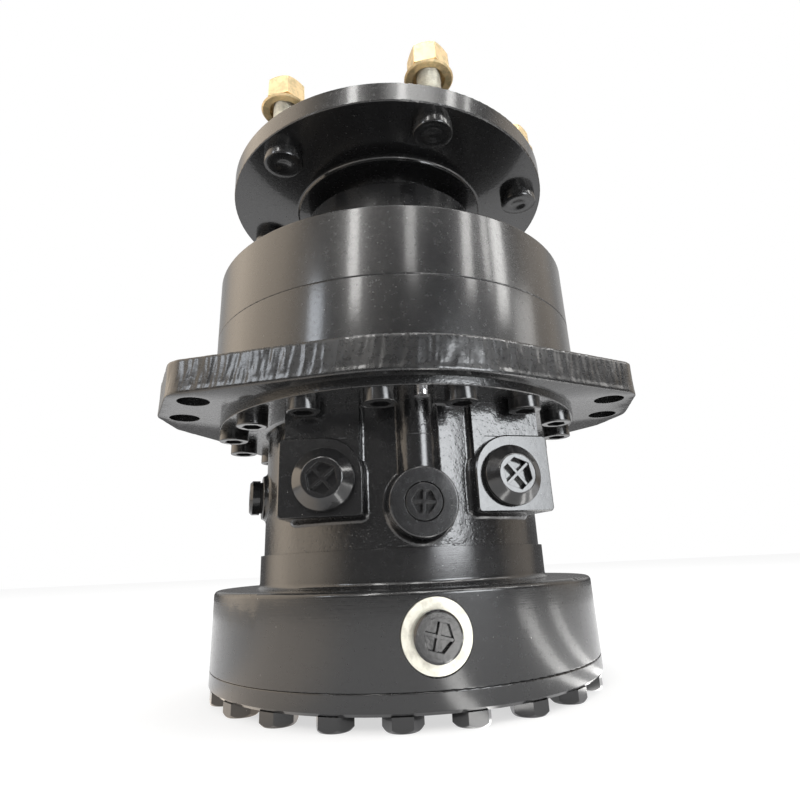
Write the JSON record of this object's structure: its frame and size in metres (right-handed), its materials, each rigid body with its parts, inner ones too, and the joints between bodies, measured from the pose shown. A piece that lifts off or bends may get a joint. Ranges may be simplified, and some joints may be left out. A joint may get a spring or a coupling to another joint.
{
  "type": "hydraulic drive motor",
  "caption": "Radial piston wheel drive motor with a studded output flange, an eared mounting plate, plugged oil ports and a disc parking brake.",
  "frame": {"origin": "centre of the wheel-mounting face of the output flange, on the shaft axis", "axes": "+Z along the shaft out of the wheel face; -Y towards the side with the oil ports and the brake port; +X to the right seen from that side"},
  "size_m": [0.3018, 0.255, 0.4029],
  "materials": {
    "black_paint": "gloss",
    "zinc_yellow": "satin",
    "zinc_clear": "satin",
    "bearing_steel": "polished",
    "pressed_steel": "satin",
    "grey_iron": "satin",
    "friction_lining": "matte",
    "seal_rubber": "matte",
    "seal_plastic": "matte"
  },
  "bodies": {
    "housing": {"bearing_housing": "black_paint", "cam_ring": "black_paint", "mounting_plate": "black_paint", "port_housing": "black_paint", "layer_screws": "black_paint", "dowel_pins": "bearing_steel", "joint_seals": "seal_rubber", "port_plug_left": "black_paint", "port_plug_right": "black_paint", "side_plug_left": "black_paint", "side_plug_right": "black_paint", "plug_seals": "seal_rubber", "boss_plug": "black_paint", "distributor": "grey_iron", "distributor_rings": "seal_plastic", "distributor_spring": "pressed_steel", "distributor_pin": "bearing_steel", "brake_housing": "black_paint", "brake_housing_screws": "pressed_steel", "brake_shaft_seal": "seal_rubber", "brake_steel_plates": "pressed_steel", "brake_spring": "pressed_steel", "brake_cover": "black_paint", "brake_cover_bolts": "black_paint", "brake_port_plug": "black_paint", "brake_port_washer": "zinc_clear", "upper_bearing_cup": "bearing_steel", "lower_bearing_cup": "bearing_steel", "shaft_seal": "seal_rubber"},
    "output": {"output_shaft": "black_paint", "wheel_studs": "zinc_clear", "wheel_nuts": "zinc_yellow", "upper_bearing_cone": "bearing_steel", "lower_bearing_cone": "bearing_steel", "bearing_nut": "bearing_steel", "cylinder_block": "grey_iron", "brake_shaft": "bearing_steel", "brake_friction_discs": "friction_lining"},
    "upper_bearing_rolling": {"upper_bearing_rollers": "bearing_steel", "upper_bearing_cage": "pressed_steel"},
    "lower_bearing_rolling": {"lower_bearing_rollers": "bearing_steel", "lower_bearing_cage": "pressed_steel"},
    "brake_piston": {"brake_piston": "bearing_steel"},
    "piston_1": {"piston_1": "bearing_steel"},
    "cam_roller_1": {"cam_roller_1": "bearing_steel"},
    "piston_2": {"piston_2": "bearing_steel"},
    "cam_roller_2": {"cam_roller_2": "bearing_steel"},
    "piston_3": {"piston_3": "bearing_steel"},
    "cam_roller_3": {"cam_roller_3": "bearing_steel"},
    "piston_4": {"piston_4": "bearing_steel"},
    "cam_roller_4": {"cam_roller_4": "bearing_steel"},
    "piston_5": {"piston_5": "bearing_steel"},
    "cam_roller_5": {"cam_roller_5": "bearing_steel"},
    "piston_6": {"piston_6": "bearing_steel"},
    "cam_roller_6": {"cam_roller_6": "bearing_steel"},
    "piston_7": {"piston_7": "bearing_steel"},
    "cam_roller_7": {"cam_roller_7": "bearing_steel"},
    "piston_8": {"piston_8": "bearing_steel"},
    "cam_roller_8": {"cam_roller_8": "bearing_steel"}
  },
  "joints": [
    {"name": "shaft_turn", "type": "hinge", "parent": "housing", "child": "output", "pos_m": [0, 0, -0.1], "axis": [0, 0, 1], "continuous": true},
    {"name": "upper_cage_turn", "type": "hinge", "parent": "housing", "child": "upper_bearing_rolling", "pos_m": [0, 0, -0.0545], "axis": [0, 0, 1], "continuous": true},
    {"name": "lower_cage_turn", "type": "hinge", "parent": "housing", "child": "lower_bearing_rolling", "pos_m": [0, 0, -0.1055], "axis": [0, 0, 1], "continuous": true},
    {"name": "brake_release", "type": "slide", "parent": "housing", "child": "brake_piston", "axis": [0, 0, 1], "range_m": [-0.002, 0], "stiffness_N_per_m": 20000, "springref_m": 0.01, "deforming": ["brake_spring"]},
    {"name": "piston_1_stroke", "type": "slide", "parent": "output", "child": "piston_1", "axis": [0, -1, 0], "range_m": [0, 0.00874]},
    {"name": "cam_roller_1_roll", "type": "hinge", "parent": "piston_1", "child": "cam_roller_1", "pos_m": [0, -0.0807, -0.1525], "axis": [0, 0, 1], "continuous": true},
    {"name": "piston_2_stroke", "type": "slide", "parent": "output", "child": "piston_2", "axis": [0.7071, -0.7071, 0], "range_m": [0, 0.00166]},
    {"name": "cam_roller_2_roll", "type": "hinge", "parent": "piston_2", "child": "cam_roller_2", "pos_m": [0.05706, -0.05706, -0.1525], "axis": [0, 0, 1], "continuous": true},
    {"name": "piston_3_stroke", "type": "slide", "parent": "output", "child": "piston_3", "axis": [1, 0, 0], "range_m": [0, 0.00166]},
    {"name": "cam_roller_3_roll", "type": "hinge", "parent": "piston_3", "child": "cam_roller_3", "pos_m": [0.0807, 0, -0.1525], "axis": [0, 0, 1], "continuous": true},
    {"name": "piston_4_stroke", "type": "slide", "parent": "output", "child": "piston_4", "axis": [0.7071, 0.7071, 0], "range_m": [0, 0.00874]},
    {"name": "cam_roller_4_roll", "type": "hinge", "parent": "piston_4", "child": "cam_roller_4", "pos_m": [0.05706, 0.05706, -0.1525], "axis": [0, 0, 1], "continuous": true},
    {"name": "piston_5_stroke", "type": "slide", "parent": "output", "child": "piston_5", "axis": [0, 1, 0], "range_m": [0, 0.00874]},
    {"name": "cam_roller_5_roll", "type": "hinge", "parent": "piston_5", "child": "cam_roller_5", "pos_m": [0, 0.0807, -0.1525], "axis": [0, 0, 1], "continuous": true},
    {"name": "piston_6_stroke", "type": "slide", "parent": "output", "child": "piston_6", "axis": [-0.7071, 0.7071, 0], "range_m": [0, 0.00166]},
    {"name": "cam_roller_6_roll", "type": "hinge", "parent": "piston_6", "child": "cam_roller_6", "pos_m": [-0.05706, 0.05706, -0.1525], "axis": [0, 0, 1], "continuous": true},
    {"name": "piston_7_stroke", "type": "slide", "parent": "output", "child": "piston_7", "axis": [-1, 0, 0], "range_m": [0, 0.00166]},
    {"name": "cam_roller_7_roll", "type": "hinge", "parent": "piston_7", "child": "cam_roller_7", "pos_m": [-0.0807, 0, -0.1525], "axis": [0, 0, 1], "continuous": true},
    {"name": "piston_8_stroke", "type": "slide", "parent": "output", "child": "piston_8", "axis": [-0.7071, -0.7071, 0], "range_m": [0, 0.00874]},
    {"name": "cam_roller_8_roll", "type": "hinge", "parent": "piston_8", "child": "cam_roller_8", "pos_m": [-0.05706, -0.05706, -0.1525], "axis": [0, 0, 1], "continuous": true}
  ],
  "couplings": [
    {"joint": "upper_cage_turn", "follows": "shaft_turn", "ratio": 0.4426},
    {"joint": "lower_cage_turn", "follows": "shaft_turn", "ratio": 0.4332},
    {"joint": "cam_roller_1_roll", "follows": "shaft_turn", "ratio": -10.322},
    {"joint": "cam_roller_2_roll", "follows": "shaft_turn", "ratio": -10.322},
    {"joint": "cam_roller_3_roll", "follows": "shaft_turn", "ratio": -10.322},
    {"joint": "cam_roller_4_roll", "follows": "shaft_turn", "ratio": -10.322},
    {"joint": "cam_roller_5_roll", "follows": "shaft_turn", "ratio": -10.322},
    {"joint": "cam_roller_6_roll", "follows": "shaft_turn", "ratio": -10.322},
    {"joint": "cam_roller_7_roll", "follows": "shaft_turn", "ratio": -10.322},
    {"joint": "cam_roller_8_roll", "follows": "shaft_turn", "ratio": -10.322}
  ]
}
